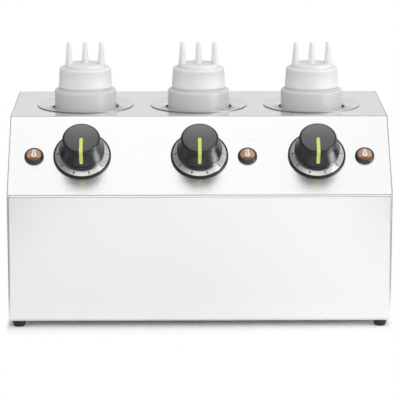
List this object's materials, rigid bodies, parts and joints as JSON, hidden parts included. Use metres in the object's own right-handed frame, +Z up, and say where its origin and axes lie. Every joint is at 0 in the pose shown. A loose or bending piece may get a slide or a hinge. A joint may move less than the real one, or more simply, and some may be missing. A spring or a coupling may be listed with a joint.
{
  "type": "bottle topping warmer",
  "caption": "Countertop warmer: stainless casing with a sloped control fascia, heated wells for squeeze bottles of topping, and a knob and lamp for each well.",
  "frame": {"origin": "centre of the footprint, gland included, on the table under the feet", "axes": "+X to the right seen from the knobs, +Y towards the rear panel, +Z up"},
  "size_m": [0.42, 0.269, 0.2931],
  "materials": {
    "stainless_steel": "fine horizontal brushing",
    "well_steel": "satin, drawn and spun",
    "zinc_screws": "zinc plated",
    "thermostat_parts": "plain",
    "copper_tube": "plain",
    "heater_mica": "mica in a steel jacket",
    "foot_rubber": "matt",
    "black_plastic": "satin moulded",
    "knob_plastic": "satin face, glossy skirt",
    "pointer_lime": "glossy",
    "dial_silver": "satin, printed scale",
    "lamp_bezel": "dark grey",
    "lamp_amber": "translucent amber",
    "bottle_plastic": "milky, translucent",
    "cap_plastic": "milky, translucent",
    "seal_plastic": "soft",
    "ceramic_white": "unglazed"
  },
  "bodies": {
    "casing": {"body_shell": "stainless_steel", "top_fascia": "stainless_steel", "rear_panel": "stainless_steel", "base_plate": "stainless_steel", "feet": "foot_rubber", "foot_screws": "zinc_screws", "base_screws": "zinc_screws", "rear_screws": "zinc_screws", "well_1": "well_steel", "well_2": "well_steel", "well_3": "well_steel", "well_retainers": "well_steel", "heater_band_1": "heater_mica", "heater_band_2": "heater_mica", "heater_band_3": "heater_mica", "band_screws": "zinc_screws", "thermal_cutouts": "black_plastic", "thermostat_1": "thermostat_parts", "thermostat_2": "thermostat_parts", "thermostat_3": "thermostat_parts", "thermostat_screws": "zinc_screws", "capillary_1": "copper_tube", "capillary_2": "copper_tube", "capillary_3": "copper_tube", "bulb_clips": "zinc_screws", "dial_base_1": "black_plastic", "dial_base_2": "black_plastic", "dial_base_3": "black_plastic", "dial_ring_1": "dial_silver", "dial_ring_2": "dial_silver", "dial_ring_3": "dial_silver", "lamp_1": "lamp_bezel", "lamp_2": "lamp_bezel", "lamp_3": "lamp_bezel", "lamp_lens_1": "lamp_amber", "lamp_lens_2": "lamp_amber", "lamp_lens_3": "lamp_amber", "lamp_clips": "zinc_screws", "cable_gland": "black_plastic", "gland_nut": "black_plastic", "terminal_block": "ceramic_white"},
    "knob_1": {"knob_1": "knob_plastic", "knob_pointer_1": "pointer_lime", "shaft_1": "zinc_screws"},
    "bottle_1": {"bottle_1": "bottle_plastic"},
    "cap_seal_1": {"cap_seal_1": "seal_plastic"},
    "cap_1": {"cap_1": "cap_plastic"},
    "knob_2": {"knob_2": "knob_plastic", "knob_pointer_2": "pointer_lime", "shaft_2": "zinc_screws"},
    "bottle_2": {"bottle_2": "bottle_plastic"},
    "cap_seal_2": {"cap_seal_2": "seal_plastic"},
    "cap_2": {"cap_2": "cap_plastic"},
    "knob_3": {"knob_3": "knob_plastic", "knob_pointer_3": "pointer_lime", "shaft_3": "zinc_screws"},
    "bottle_3": {"bottle_3": "bottle_plastic"},
    "cap_seal_3": {"cap_seal_3": "seal_plastic"},
    "cap_3": {"cap_3": "cap_plastic"}
  },
  "joints": [
    {"name": "knob_turn_1", "type": "hinge", "parent": "casing", "child": "knob_1", "pos_m": [-0.12899, -0.09405, 0.18477], "axis": [0, 0.6624, -0.7492], "range_deg": [-126, 162]},
    {"name": "bottle_lift_1", "type": "slide", "parent": "casing", "child": "bottle_1", "axis": [0, 0, 1], "range_m": [0, 0.18]},
    {"name": "cap_rise_1", "type": "slide", "parent": "bottle_1", "child": "cap_seal_1", "axis": [0, 0, 1], "range_m": [0, 0.0061]},
    {"name": "cap_turn_1", "type": "hinge", "parent": "cap_seal_1", "child": "cap_1", "pos_m": [-0.12899, 0.02, 0.2215], "axis": [0, 0, 1], "range_deg": [0, 540]},
    {"name": "knob_turn_2", "type": "hinge", "parent": "casing", "child": "knob_2", "pos_m": [0, -0.09405, 0.18477], "axis": [0, 0.6624, -0.7492], "range_deg": [-126, 162]},
    {"name": "bottle_lift_2", "type": "slide", "parent": "casing", "child": "bottle_2", "axis": [0, 0, 1], "range_m": [0, 0.18]},
    {"name": "cap_rise_2", "type": "slide", "parent": "bottle_2", "child": "cap_seal_2", "axis": [0, 0, 1], "range_m": [0, 0.0061]},
    {"name": "cap_turn_2", "type": "hinge", "parent": "cap_seal_2", "child": "cap_2", "pos_m": [0, 0.02, 0.2215], "axis": [0, 0, 1], "range_deg": [0, 540]},
    {"name": "knob_turn_3", "type": "hinge", "parent": "casing", "child": "knob_3", "pos_m": [0.12899, -0.09405, 0.18477], "axis": [0, 0.6624, -0.7492], "range_deg": [-126, 162]},
    {"name": "bottle_lift_3", "type": "slide", "parent": "casing", "child": "bottle_3", "axis": [0, 0, 1], "range_m": [0, 0.18]},
    {"name": "cap_rise_3", "type": "slide", "parent": "bottle_3", "child": "cap_seal_3", "axis": [0, 0, 1], "range_m": [0, 0.0061]},
    {"name": "cap_turn_3", "type": "hinge", "parent": "cap_seal_3", "child": "cap_3", "pos_m": [0.12899, 0.02, 0.2215], "axis": [0, 0, 1], "range_deg": [0, 540]}
  ],
  "couplings": [
    {"joint": "cap_rise_1", "follows": "cap_turn_1", "m_per_rad": 0.00063662},
    {"joint": "cap_rise_2", "follows": "cap_turn_2", "m_per_rad": 0.00063662},
    {"joint": "cap_rise_3", "follows": "cap_turn_3", "m_per_rad": 0.00063662}
  ]
}
